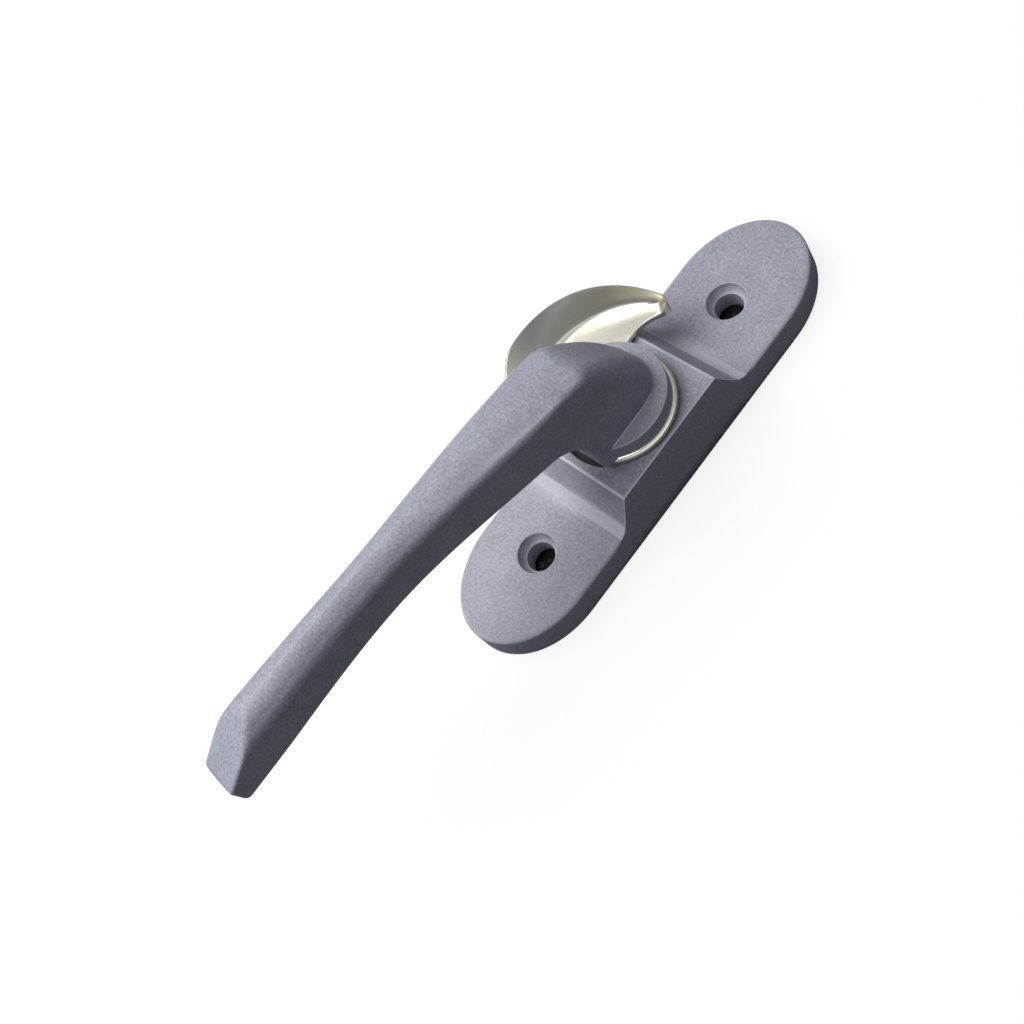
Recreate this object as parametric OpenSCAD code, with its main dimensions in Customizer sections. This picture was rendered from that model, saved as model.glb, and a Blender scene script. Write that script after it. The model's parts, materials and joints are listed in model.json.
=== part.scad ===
// Crescent sash lock: a cast base screwed to one sash, a cranked handle that turns on it,
// and a crescent cam that hooks a keeper on the other sash and draws the two together.
// X runs across the base, Y along it and Z out of the back face, with the turning axis on Z.
// It is drawn locked: the handle points to -Y and the crescent stands out over the -X side.

/* [Base casting] */
// Length of the base along the sash
base_length = 91; // [87:0.5:100]
// Width of the base at its back face
base_width = 24.4; // [23.6:0.2:28]
// Length of each rounded end, along the base
end_round_length = 16; // [12:0.5:17]
// How far the side walls lean in from the back face to the top of the boss
wall_draft = 1; // [0.4:0.1:1.2]
// Thickness of the two screw ears
ear_thickness = 5.8; // [5.4:0.1:7]
// Height of the boss top above the back face
boss_height = 13.2; // [12.6:0.1:15]
// Length of the flat top of the boss
boss_top_length = 24.6; // [24:0.2:27]
// Lean of the slopes at the ends of the boss, from upright, in degrees
boss_slope = 29; // [20:1:36]
// Radius of the fillets between the boss and the ears
boss_fillet = 3; // [1:0.5:4]
// Thickness of the casting's side walls
casting_wall = 2.6; // [2.2:0.1:2.8]
// Thickness of the boss roof that carries the bush
roof_thickness = 2.8; // [2.4:0.1:3.2]
// Thickness of the ears over their back pockets
ear_skin = 2.2; // [1.8:0.1:3]

/* [Mounting holes] */
// Distance between the two mounting holes
hole_pitch = 55; // [54:0.5:60]
// Diameter of a mounting hole, close clearance for an M5 screw
hole_diameter = 5.3; // [4.5:0.1:6]
// Diameter of the countersink at the top of a mounting hole
countersink_diameter = 7.6; // [6.5:0.1:9]
// Diameter of the solid boss behind a mounting hole
screw_boss_diameter = 11; // [9.5:0.5:11]

/* [Crescent] */
// Radius of the crescent's outer edge about the turning axis
crescent_radius = 20.2; // [19.5:0.1:22]
// Thickness of the crescent's plate
crescent_plate = 1.2; // [1:0.1:1.6]
// Height of the crescent's rim above its plate
rim_height = 5.5; // [4.8:0.1:6]
// Radius of the rim's inner wall where it meets the plate
scoop_radius = 16.7; // [16:0.1:17]
// How much the inner wall's radius grows from the plate to the top of the rim
scoop_flare = 4.9; // [4:0.1:5]
// Offset of the inner wall from the turning axis, which gives the pull
scoop_offset = 2.9; // [2.6:0.1:3.2]
// Direction of that offset, in degrees from +X
scoop_angle = 83; // [78:1:90]
// How far the inner wall's centre moves from the plate to the top of the rim
scoop_lean = 3.6; // [3.2:0.1:4]
// Direction of that lean, in degrees from +X
scoop_lean_angle = -70; // [-76:1:-64]
// Radius of the round throat under the crescent's tip
throat_radius = 7.6; // [6.6:0.1:8.2]
// Direction of the throat's centre from the tip's, in degrees from +X
throat_angle = -52; // [-56:1:-48]
// Thickness of the crescent's tip above its throat
tip_thickness = 2.4; // [2:0.1:2.8]
// Direction of the crescent's tip from the turning axis, in degrees from +X
tip_angle = 100; // [97:0.5:104]
// Radius of the crescent's rounded trailing end
crescent_tail_radius = 9.8; // [9:0.1:10.4]
// Radius of the disc round the crescent's square hole, which shows as a bright ring
crescent_hub_radius = 10.7; // [10.2:0.1:11]

/* [Handle] */
// Distance from the turning axis to the end of the lever
lever_reach = 82.8; // [75:0.2:92]
// Height of the lever's top at the elbow, above the back face
elbow_height = 36.1; // [34:0.1:38]
// Distance that the back of the elbow stands forward of the turning axis
elbow_back = 2; // [1.5:0.1:3.5]
// Radius of the edge round the elbow
elbow_edge = 1.5; // [0.8:0.1:2]
// Rise of the lever where it leaves the elbow, in degrees
lever_lift = 10.1; // [6:0.1:11]
// How far the lever's top has curved down from that line by its end
lever_droop = 5.4; // [3:0.1:6]
// Width of the lever at the elbow
root_width = 10.6; // [10:0.1:11]
// Width of the lever at its waist
waist_width = 7.4; // [6.8:0.1:9]
// Width of the lever near its tip
tip_width = 8.4; // [7.5:0.1:9.5]
// Depth of the lever at the elbow
root_depth = 11; // [10:0.1:12]
// Depth of the lever at its waist
waist_depth = 8.5; // [7.5:0.1:9.5]
// Depth of the lever at its tip, before the bevel
tip_depth = 9.8; // [9:0.1:10.2]
// Radius of the lever's lower edges, and of its upper ones at the elbow
lever_edge = 2; // [1.2:0.1:2.4]
// Radius of the lever's upper edges from its waist to its tip
crown_edge = 2.4; // [2:0.1:3]
// Distance from the turning axis to the waist
waist_reach = 47.5; // [42:0.5:52]
// Length of the bevel on top of the tip
bevel_length = 10; // [8:0.2:11]
// Fall of the bevel from the lever's top line, in degrees
bevel_fall = 26; // [18:1:27]
// Radius of the collar at the foot of the handle
collar_radius = 9.9; // [9.4:0.1:10]
// Height of the collar
collar_height = 3.3; // [2.6:0.1:3.6]
// Width of the neck at its foot
neck_width = 13.3; // [12.6:0.1:13.8]
// How far the back of the neck's foot lies behind the turning axis
neck_back = 8; // [7.6:0.1:8.6]
// How far the front of the neck's foot lies ahead of the turning axis
neck_front = 9.4; // [8.8:0.1:10]

/* [Turning parts] */
// Side of the spindle's square head, in the handle and the crescent
head_square = 6.4; // [6:0.1:6.6]
// Height of the spindle's square head above the boss
head_height = 8; // [6.5:0.1:8.2]
// Diameter of the spindle's journal
journal_diameter = 8; // [7.9:0.1:8.4]
// Side of the spindle's lower square, in the detent cam
tail_square = 5.5; // [5:0.1:5.5]
// Diameter of the spindle's threaded tail
tail_diameter = 4; // [3.5:0.1:4.5]
// Wall of the bush round the journal
bush_wall = 1; // [0.8:0.1:1.2]
// Thickness of the bush's flange under the roof
bush_flange = 0.9; // [0.7:0.1:1.1]
// Radius of the thrust washer under the crescent
thrust_washer_radius = 9.6; // [8.8:0.1:10]
// Thickness of the thrust washer
thrust_washer_thickness = 0.4; // [0.3:0.05:0.6]
// Width of the square detent cam across its flats
cam_width = 9; // [8.6:0.1:9.2]
// Thickness of the cam's stop lug
lug_thickness = 1.1; // [0.8:0.1:1.3]
// Radius of the stop lug's outer edge
lug_radius = 8.4; // [8:0.1:8.6]
// Thickness of the curved spring washer's strip
curved_washer_strip = 0.4; // [0.3:0.05:0.5]
// Height of the curved spring washer, with its bow
curved_washer_height = 0.8; // [0.6:0.05:0.9]
// Radius of the tail washer and of the curved washer
tail_washer_radius = 5; // [4.5:0.1:5.6]
// Thickness of the tail washer
tail_washer_thickness = 0.6; // [0.4:0.1:0.8]
// Width of the tail nut across its flats
nut_width = 7; // [6.5:0.1:8]
// Height of the tail nut
nut_height = 2.2; // [1.8:0.1:2.4]
// Thickness of the two detent leaf springs
spring_thickness = 0.5; // [0.4:0.05:0.6]
// Length of the spring's hooked ends
spring_hook = 2; // [1.2:0.1:2.6]

/* [Back plate] */
// Length of the plate that closes the mechanism
plate_length = 40; // [38:0.5:42]
// Width of the plate
plate_width = 20; // [19.6:0.1:20.4]
// Thickness of the plate
plate_thickness = 1; // [0.8:0.1:1.2]
// How deep the plate lies below the back face
plate_set_in = 0.2; // [0.1:0.05:0.3]
// Distance between the plate's two screws
plate_screw_pitch = 33; // [32:0.5:34]
// Diameter of the plate screws
plate_screw_diameter = 2.5; // [2:0.1:2.6]
// Diameter of the plate screws' heads
plate_screw_head = 4.4; // [4:0.1:4.6]
// Length of the plate screws
plate_screw_length = 4.2; // [3:0.1:4.4]

/* [Clearances] */
// Radial clearance of the journal in the bush, and of turning faces
running_clearance = 0.05; // [0.02:0.01:0.08]
// Clearance round pieces that are pressed or keyed together
keyed_clearance = 0.02; // [0.01:0.01:0.05]
// Clearance round the back plate in its recess
plate_clearance = 0.15; // [0.1:0.05:0.25]
// Gap between the spindle's end and the back plate
tail_gap = 0.3; // [0.2:0.05:0.4]

/* [Hidden] */
$fn = 64;
// Cuts run this far past the faces that they open
cut = 1;
// Thickness of the slices that a hull joins
slice = 0.02;
powder_grey = [0.45, 0.46, 0.50];
nickel = [0.80, 0.79, 0.72];
zinc_steel = [0.72, 0.73, 0.75];
bronze = [0.70, 0.55, 0.33];
spring_steel = [0.45, 0.46, 0.48];

// Levels above the back face, from the boss upwards
crescent_bottom = boss_height + thrust_washer_thickness + running_clearance;
plate_top = crescent_bottom + crescent_plate;
rim_top = plate_top + rim_height;
collar_top = plate_top + collar_height;
head_top = boss_height + head_height;

// Levels in the mechanism, from the roof downwards and from the back plate upwards
roof_level = boss_height - roof_thickness;
cam_top = roof_level - bush_flange - running_clearance;
recess_depth = plate_set_in + plate_thickness;
nut_bottom = recess_depth + tail_gap;
tail_washer_bottom = nut_bottom + nut_height;
curved_washer_bottom = tail_washer_bottom + tail_washer_thickness;
lug_bottom = curved_washer_bottom + curved_washer_height;
lug_top = lug_bottom + lug_thickness;

// Small sizes that seldom need a change: overhangs of the bush's flange and of the cam's
// corners, gaps beside the stop post, the springs and the pockets, and the pads' length
flange_overhang = 0.9;
cam_corner_overhang = 1.1;
post_half_width = 3.6;
post_gap = 0.2;
spring_end_gap = 0.6;
pad_length = 2;
pocket_rib = 1.8;
screw_slot = 0.5;

// Cavity for the mechanism, and what stands in it
bush_radius = journal_diameter/2 + running_clearance + bush_wall;
bush_flange_radius = bush_radius + flange_overhang;
wall_lean = tan(boss_slope);
cavity_half_width = base_width/2 - casting_wall;
cavity_half_length = boss_top_length/2 + (boss_height - roof_level)*wall_lean - casting_wall;
cam_corner_radius = cam_width/2 + cam_corner_overhang;
post_front = max(cam_corner_radius, bush_flange_radius) + post_gap;
lug_flat = post_half_width + running_clearance;
spring_inner = cam_width/2 + running_clearance;
spring_outer = spring_inner + spring_thickness;
spring_end = cavity_half_length - spring_end_gap;
pad_end = spring_end - spring_thickness - running_clearance;

// Outline of the base and of its back pockets
end_steps = 24;
pocket_start = plate_length/2 + plate_clearance + pocket_rib;

// Points round the base, drawn in by an inset: straight sides and half-elliptical ends
function base_outline(inset) =
    let (w = base_width/2 - inset, e = end_round_length - inset, c = base_length/2 - end_round_length)
    [for (side = [1, -1]) for (i = [0:end_steps])
        let (a = (side > 0 ? 0 : 180) + 180*i/end_steps)
        [w*cos(a), side*c + e*sin(a)]];

// Side view of the base: ears, sloping boss and the fillets between them
module base_side_view() {
    top = boss_top_length/2;
    foot = top + (boss_height - ear_thickness)*wall_lean;
    reach = boss_fillet*tan(45 - boss_slope/2);
    translate([-base_length/2, 0]) square([base_length, ear_thickness]);
    polygon([[-foot, 0], [foot, 0], [foot, ear_thickness], [top, boss_height],
             [-top, boss_height], [-foot, ear_thickness]]);
    for (side = [0, 1]) mirror([side, 0]) difference() {
        polygon([[foot, ear_thickness], [foot + reach, ear_thickness],
                 [foot - reach*sin(boss_slope), ear_thickness + reach*cos(boss_slope)]]);
        translate([foot + reach, ear_thickness + boss_fillet]) circle(r = boss_fillet);
    }
}

// The whole casting before it is hollowed: drafted outline, cut to the side view
module base_blank() {
    intersection() {
        hull() {
            linear_extrude(slice) polygon(base_outline(0));
            translate([0, 0, boss_height - slice]) linear_extrude(slice) polygon(base_outline(wall_draft));
        }
        rotate([90, 0, 90]) linear_extrude(base_width + 2*cut, center = true) base_side_view();
    }
}

// Through hole for a mounting screw, with its countersink
module mounting_hole() {
    sink = (countersink_diameter - hole_diameter)/2;
    translate([0, 0, -cut]) cylinder(d = hole_diameter, h = ear_thickness + 2*cut);
    translate([0, 0, ear_thickness - sink])
        cylinder(d1 = hole_diameter, d2 = countersink_diameter + 2*cut, h = sink + cut);
}

// Pocket in the back of an ear, round the screw boss
module ear_pocket() {
    translate([0, 0, -cut]) linear_extrude(ear_thickness - ear_skin + cut) difference() {
        intersection() {
            polygon(base_outline(casting_wall));
            translate([-base_width/2, pocket_start]) square([base_width, base_length]);
        }
        translate([0, hole_pitch/2]) circle(d = screw_boss_diameter);
    }
}

// Space for the mechanism: it leaves the stop post and the four pads behind the springs
module mechanism_cavity() {
    pad_width = cavity_half_width - spring_outer - running_clearance;
    difference() {
        translate([-cavity_half_width, -cavity_half_length, -cut])
            cube([2*cavity_half_width, 2*cavity_half_length, roof_level + cut]);
        translate([-post_half_width, -cavity_half_length - cut, lug_bottom])
            cube([2*post_half_width, cavity_half_length + cut - post_front, roof_level]);
        for (x = [0, 1]) for (y = [0, 1]) mirror([x, 0, 0]) mirror([0, y, 0])
            translate([spring_outer + running_clearance, pad_end - pad_length, lug_top])
                cube([pad_width + cut, pad_length, roof_level]);
    }
}

module base_casting() {
    color(powder_grey) difference() {
        base_blank();
        for (side = [-1, 1]) translate([0, side*hole_pitch/2, 0]) mounting_hole();
        for (side = [0, 1]) mirror([0, side, 0]) ear_pocket();
        mechanism_cavity();
        translate([0, 0, roof_level - cut])
            cylinder(r = bush_radius + keyed_clearance, h = roof_thickness + 2*cut);
        translate([0, 0, recess_depth/2 - cut/2])
            cube([plate_width + 2*plate_clearance, plate_length + 2*plate_clearance, recess_depth + cut],
                 center = true);
        for (side = [-1, 1]) translate([0, side*plate_screw_pitch/2, 0])
            cylinder(d = plate_screw_diameter + 2*keyed_clearance, h = plate_set_in + plate_screw_length);
    }
}

// Flanged bush pressed up through the roof
module pivot_bush() {
    color(bronze) difference() {
        union() {
            translate([0, 0, roof_level - bush_flange]) cylinder(r = bush_flange_radius, h = bush_flange);
            translate([0, 0, roof_level - bush_flange]) cylinder(r = bush_radius, h = roof_thickness + bush_flange);
        }
        cylinder(d = journal_diameter + 2*running_clearance, h = boss_height + cut);
    }
}

// Flat washer that lifts the crescent's disc clear of the boss
module thrust_washer() {
    color(zinc_steel) translate([0, 0, boss_height]) difference() {
        cylinder(r = thrust_washer_radius, h = thrust_washer_thickness);
        translate([0, 0, -cut])
            cylinder(d = journal_diameter + 2*running_clearance, h = thrust_washer_thickness + 2*cut);
    }
}

// Leaf spring along one flat of the cam, hooked round the casting's pads
module detent_spring(side) {
    level = lug_top + running_clearance;
    hook = spring_inner + spring_hook;
    bend = spring_end - spring_thickness;
    color(spring_steel) mirror([side < 0 ? 1 : 0, 0, 0])
        translate([0, 0, level]) linear_extrude(cam_top - level)
            polygon([[spring_inner, -spring_end], [hook, -spring_end], [hook, -bend], [spring_outer, -bend],
                     [spring_outer, bend], [hook, bend], [hook, spring_end], [spring_inner, spring_end]]);
}

module detent_spring_left() {
    detent_spring(-1);
}

module detent_spring_right() {
    detent_spring(1);
}

// Countersunk cone of a plate screw, from its head to its shank
module plate_screw_cone(spread) {
    sink = (plate_screw_head - plate_screw_diameter)/2;
    translate([0, 0, plate_set_in])
        cylinder(d1 = plate_screw_head + 2*spread, d2 = plate_screw_diameter + 2*spread, h = sink);
}

module back_plate() {
    color(zinc_steel) difference() {
        translate([0, 0, plate_set_in + plate_thickness/2])
            cube([plate_width, plate_length, plate_thickness], center = true);
        for (side = [-1, 1]) translate([0, side*plate_screw_pitch/2, 0]) {
            plate_screw_cone(keyed_clearance);
            cylinder(d = plate_screw_diameter + 2*keyed_clearance, h = recess_depth + cut);
        }
    }
}

// Two screws with crossed slots that hold the back plate
module back_plate_screws() {
    color(zinc_steel) for (side = [-1, 1]) translate([0, side*plate_screw_pitch/2, 0]) difference() {
        union() {
            plate_screw_cone(0);
            translate([0, 0, plate_set_in]) cylinder(d = plate_screw_diameter, h = plate_screw_length);
        }
        for (turn = [0, 90]) rotate(turn) translate([0, 0, plate_set_in])
            cube([plate_screw_diameter, screw_slot, 2*screw_slot], center = true);
    }
}

// A value that goes smoothly from the lever's root to its waist and on to its tip
function ease(t) = let (c = min(1, max(0, t))) c*c*(3 - 2*c);
function along(d, root, waist, tip) =
    waist + (root - waist)*ease((waist_reach - d)/(waist_reach - neck_front))
    + (tip - waist)*ease((d - waist_reach)/(lever_reach - waist_reach));

// Lever: its top line, its underside with the fillet at the neck, and its half-width,
// at a distance d from the turning axis
under_fillet = 4.5;
front_lean = 1;
tip_round = 1;
tip_edge = 1;
tip_narrowing = 1.6;
fillet_start = neck_front + front_lean;
bevel_start = lever_reach - bevel_length;
function arc_drop(t, r) = let (c = min(r, max(0, t))) r - sqrt(r*r - c*c);
function lever_line(d) =
    let (u = d - elbow_back)
    elbow_height + u*tan(lever_lift) - lever_droop*pow(u/(lever_reach - elbow_back), 2);
function lever_top(d) =
    lever_line(d) - max(0, d - bevel_start)*tan(bevel_fall) - arc_drop(d - lever_reach + tip_edge, tip_edge);
function lever_crown(d) = along(d, lever_edge, crown_edge, crown_edge);
function lever_under(d) =
    lever_line(d) - along(d, root_depth, waist_depth, tip_depth)
    - arc_drop(fillet_start + under_fillet - d, under_fillet)
    + arc_drop(d - lever_reach + tip_round, tip_round);
function lever_half_width(d) =
    along(d, root_width, waist_width, tip_width)/2
    - arc_drop(d - lever_reach + tip_narrowing, tip_narrowing)/2;

// One section of the lever: a box with rounded corners between its underside and its top
corner_steps = 6;
section_points = 4*(corner_steps + 1);
function lever_section(d) =
    let (top = lever_top(d), under = lever_under(d), w = lever_half_width(d), most = 0.45*(top - under),
         upper = min(lever_crown(d), most), lower = min(lever_edge, most))
    [for (quarter = [0:3]) for (i = [0:corner_steps])
        let (a = 90*(quarter + i/corner_steps), r = quarter < 2 ? upper : lower,
             x = quarter == 0 || quarter == 3 ? w - r : r - w, z = quarter < 2 ? top - r : under + r)
        [x + r*cos(a), -d, z + r*sin(a)]];

// Lever lofted through its sections, closer together at the fillet and at the tip
module lever() {
    root = elbow_back + root_width/2;
    fillet_end = fillet_start + under_fillet;
    stations = concat(
        [root],
        [for (i = [0:6]) fillet_start + under_fillet*(1 - cos(90*i/6))],
        [for (i = [1:14]) fillet_end + (bevel_start - fillet_end)*i/14],
        [for (i = [1:4]) bevel_start + (bevel_length - tip_narrowing)*i/4],
        [for (i = [1:5]) lever_reach - tip_narrowing*(1 - sin(90*i/5))]);
    last = len(stations) - 1;
    n = section_points;
    sides = [for (i = [0:last - 1]) for (j = [0:n - 1])
        [(i + 1)*n + j, (i + 1)*n + (j + 1)%n, i*n + (j + 1)%n, i*n + j]];
    caps = [[for (j = [0:n - 1]) j], [for (j = [n - 1:-1:0]) last*n + j]];
    polyhedron([for (d = stations) for (p = lever_section(d)) p], concat(sides, caps));
}

// Neck: from a long foot with a round back, leaning forward to the round elbow,
// whose top edge is rounded in three steps
module neck() {
    corner = 1.2;
    foot_radius = neck_width/2;
    elbow_radius = root_width/2;
    hull() {
        translate([0, neck_back - foot_radius, plate_top])
            cylinder(r = foot_radius, h = collar_height, $fn = 32);
        for (side = [-1, 1]) translate([side*(foot_radius - corner), corner - neck_front, plate_top])
            cylinder(r = corner, h = collar_height, $fn = 32);
        translate([0, -elbow_back - elbow_radius, lever_line(elbow_back + elbow_radius)])
            rotate([-lever_lift, 0, 0]) for (a = [0, 45, 90])
                translate([0, 0, elbow_edge*(cos(a) - 1) - slice])
                    cylinder(r = elbow_radius + elbow_edge*(sin(a) - 1), h = slice, $fn = 32);
    }
}

module handle() {
    socket = head_square + 2*keyed_clearance;
    color(powder_grey) difference() {
        union() {
            translate([0, 0, plate_top]) cylinder(r = collar_radius, h = collar_height);
            neck();
            lever();
        }
        translate([-socket/2, -socket/2, plate_top - cut])
            cube([socket, socket, head_top - plate_top + cut + keyed_clearance]);
    }
}

// Plan of the crescent: part of a ring with a round-ended tip, a rounded trailing end,
// and the throat cut in under the tip
module crescent_plan() {
    far = 2*crescent_radius;
    overlap = 0.45*tip_thickness;
    tip = (crescent_radius - overlap)*[cos(tip_angle), sin(tip_angle)];
    throat = tip + (throat_radius + overlap)*[cos(throat_angle), sin(throat_angle)];
    difference() {
        union() {
            intersection() {
                circle(r = crescent_radius);
                union() {
                    polygon([[0, 0], far*[cos(tip_angle), sin(tip_angle)], [-far, far], [-far, 0]]);
                    translate(tip) circle(d = tip_thickness);
                }
            }
            translate([crescent_tail_radius - crescent_radius, 0]) circle(r = crescent_tail_radius);
        }
        translate(throat) circle(r = throat_radius);
    }
}

// Space inside the rim: a cone that flares and leans from the plate to the top of the rim
module crescent_scoop() {
    foot = scoop_offset*[cos(scoop_angle), sin(scoop_angle)];
    head = foot + scoop_lean*[cos(scoop_lean_angle), sin(scoop_lean_angle)];
    hull() {
        translate([foot.x, foot.y, plate_top]) cylinder(r = scoop_radius, h = slice);
        translate([head.x, head.y, rim_top]) cylinder(r = scoop_radius + scoop_flare, h = cut);
    }
}

// Crescent cam: plate and rim in one, the rim hollowed by the leaning scoop
module crescent() {
    hole = head_square + 2*keyed_clearance;
    color(nickel) difference() {
        translate([0, 0, crescent_bottom]) {
            cylinder(r = crescent_hub_radius, h = crescent_plate);
            linear_extrude(crescent_plate + rim_height) crescent_plan();
        }
        crescent_scoop();
        translate([-hole/2, -hole/2, crescent_bottom - cut]) cube([hole, hole, crescent_plate + 2*cut]);
    }
}

// Steel spindle: square head, journal, lower square and plain-drawn threaded tail
module spindle() {
    shoulder = boss_height + thrust_washer_thickness + running_clearance;
    color(zinc_steel) {
        translate([-head_square/2, -head_square/2, shoulder])
            cube([head_square, head_square, head_top - shoulder]);
        translate([0, 0, cam_top]) cylinder(d = journal_diameter, h = shoulder - cam_top);
        translate([-tail_square/2, -tail_square/2, lug_bottom])
            cube([tail_square, tail_square, cam_top - lug_bottom]);
        translate([0, 0, nut_bottom]) cylinder(d = tail_diameter, h = lug_bottom - nut_bottom);
    }
}

// Square cam that the leaf springs grip, with the stop lug below it
module detent_cam() {
    hole = tail_square + 2*keyed_clearance;
    color(zinc_steel) difference() {
        union() {
            translate([0, 0, lug_bottom]) linear_extrude(cam_top - lug_bottom) intersection() {
                square(cam_width, center = true);
                circle(r = cam_corner_radius);
            }
            translate([0, 0, lug_bottom]) intersection() {
                cylinder(r = lug_radius, h = lug_thickness);
                translate([lug_flat, -lug_radius, 0]) cube([lug_radius, 2*lug_radius, lug_thickness]);
            }
        }
        translate([-hole/2, -hole/2, lug_bottom - cut]) cube([hole, hole, cam_top - lug_bottom + 2*cut]);
    }
}

// Curved spring washer: a ring cut from a thin bowed shell
module curved_washer() {
    sag = curved_washer_height - curved_washer_strip;
    bow_radius = (tail_washer_radius*tail_washer_radius + sag*sag)/(2*sag);
    color(spring_steel) translate([0, 0, curved_washer_bottom]) intersection() {
        difference() {
            cylinder(r = tail_washer_radius, h = curved_washer_height);
            translate([0, 0, -cut])
                cylinder(d = tail_diameter + 4*running_clearance, h = curved_washer_height + 2*cut);
        }
        translate([0, 0, curved_washer_height - bow_radius]) rotate([0, 90, 0]) difference() {
            cylinder(r = bow_radius, h = 4*tail_washer_radius, center = true);
            cylinder(r = bow_radius - curved_washer_strip, h = 5*tail_washer_radius, center = true);
        }
    }
}

module tail_washer() {
    color(zinc_steel) translate([0, 0, tail_washer_bottom]) difference() {
        cylinder(r = tail_washer_radius, h = tail_washer_thickness);
        translate([0, 0, -cut])
            cylinder(d = tail_diameter + 4*running_clearance, h = tail_washer_thickness + 2*cut);
    }
}

module tail_nut() {
    color(zinc_steel) translate([0, 0, nut_bottom]) difference() {
        cylinder(d = nut_width/cos(30), h = nut_height, $fn = 6);
        translate([0, 0, -cut]) cylinder(d = tail_diameter + 2*keyed_clearance, h = nut_height + 2*cut);
    }
}

base_casting();
pivot_bush();
thrust_washer();
detent_spring_left();
detent_spring_right();
back_plate();
back_plate_screws();
handle();
crescent();
spindle();
detent_cam();
curved_washer();
tail_washer();
tail_nut();
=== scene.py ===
import json
from math import radians

import bmesh
import bpy
import numpy as np
from bpy.props import FloatProperty, FloatVectorProperty, PointerProperty
from mathutils import Euler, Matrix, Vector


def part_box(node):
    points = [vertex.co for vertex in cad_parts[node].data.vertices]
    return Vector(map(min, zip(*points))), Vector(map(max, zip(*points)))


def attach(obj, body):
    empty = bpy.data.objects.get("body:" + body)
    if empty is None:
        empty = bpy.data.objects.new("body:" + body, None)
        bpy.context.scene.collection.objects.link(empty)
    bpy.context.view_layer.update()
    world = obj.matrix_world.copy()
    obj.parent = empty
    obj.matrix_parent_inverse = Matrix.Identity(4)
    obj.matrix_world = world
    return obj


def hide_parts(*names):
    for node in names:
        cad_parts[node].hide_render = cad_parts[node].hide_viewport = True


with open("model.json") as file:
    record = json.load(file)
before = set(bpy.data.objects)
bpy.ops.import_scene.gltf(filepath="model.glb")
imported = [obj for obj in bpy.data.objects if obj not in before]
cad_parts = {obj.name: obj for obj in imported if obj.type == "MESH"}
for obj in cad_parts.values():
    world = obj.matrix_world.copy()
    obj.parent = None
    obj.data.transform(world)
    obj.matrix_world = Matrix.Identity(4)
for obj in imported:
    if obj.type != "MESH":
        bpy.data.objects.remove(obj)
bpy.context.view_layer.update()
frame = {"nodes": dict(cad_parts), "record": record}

bl_info = {
    "name": "Crescent Sash Lock",
    "version": (1, 0, 0),
    "blender": (4, 5, 0),
    "location": "View3D > Sidebar > Sash Lock",
    "description": "Finished looks of a crescent sash lock, built around its solids",
    "category": "Add Mesh",
}

# All lengths are in metres, in the frame of the solids: X across the base, Y along it, Z out of its
# back face along the turning axis. The handle points to -Y and the crescent stands over the -X side.
MM = 0.001
MOUNTS = {mount["name"]: mount for mount in frame["record"]["mounts"]}
BASE_LOW, BASE_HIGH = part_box("base_casting")
PLATE_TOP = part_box("handle")[0].z
CRESCENT_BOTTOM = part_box("crescent")[0].z
RING_LOW, RING_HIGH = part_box("thrust_washer")


def linear(code):
    """Linear colour of an sRGB hex value."""
    parts = np.array([int(code[i:i + 2], 16) for i in (1, 3, 5)])/255
    return tuple(np.where(parts > 0.04045, ((parts + 0.055)/1.055)**2.4, parts/12.92).tolist())


def length(name, text, millimetres):
    """Length property, given in millimetres and kept in metres."""
    return FloatProperty(name=name, description=text, default=millimetres*MM, min=0, precision=5,
                         subtype="DISTANCE", unit="LENGTH")


def angle(name, text, degrees):
    """Angle property, given in degrees."""
    return FloatProperty(name=name, description=text, default=radians(degrees), subtype="ANGLE",
                         unit="ROTATION")


def colour(name, text, code):
    """Colour property, given as an sRGB hex value."""
    return FloatVectorProperty(name=name, description=text, default=linear(code), min=0, max=1, size=3,
                               subtype="COLOR")


class SashBaseSizes(bpy.types.PropertyGroup):
    """Sizes of the cast base"""
    end_round: length("End round", "Length of each rounded end, along the base", 16)
    wall_draft: length("Wall draft", "How far the walls lean in up to the top of the boss", 1)
    ear_thickness: length("Ear thickness", "Thickness of the two screw ears", 5.8)
    boss_top: length("Boss top", "Length of the flat top of the boss", 24.6)
    boss_slope: angle("Boss slope", "Lean of the boss's end slopes from upright", 29)
    boss_fillet: length("Boss fillet", "Radius between the boss and the ears", 3)
    ear_edge: length("Ear edge", "Radius of the ears' top edge", 0.8)
    boss_edge: length("Boss edge", "Radius of the boss's edges", 0.35)
    hole_lip: length("Hole lip", "Radius of the lip of a mounting hole", 0.22)
    countersink: length("Countersink", "Diameter of the countersink of a mounting hole", 7.6)
    sink_depth: length("Sink depth", "Depth of the steep wall of the countersink", 1.8)
    sink_draft: length("Sink draft", "How far that wall leans in down to its foot", 0.42)
    ledge_depth: length("Ledge depth", "Depth of the sloping ledge below that wall", 0.25)
    slot_inner: length("Slot inner", "Inner radius of the slot in the boss under the neck", 8.8)
    slot_outer: length("Slot outer", "Outer radius of that slot", 10.9)
    slot_depth: length("Slot depth", "Depth of that slot", 1.4)
    casting_gap: length("Casting gap", "How far the skin lies inside the casting's solid", 0.05)


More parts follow.
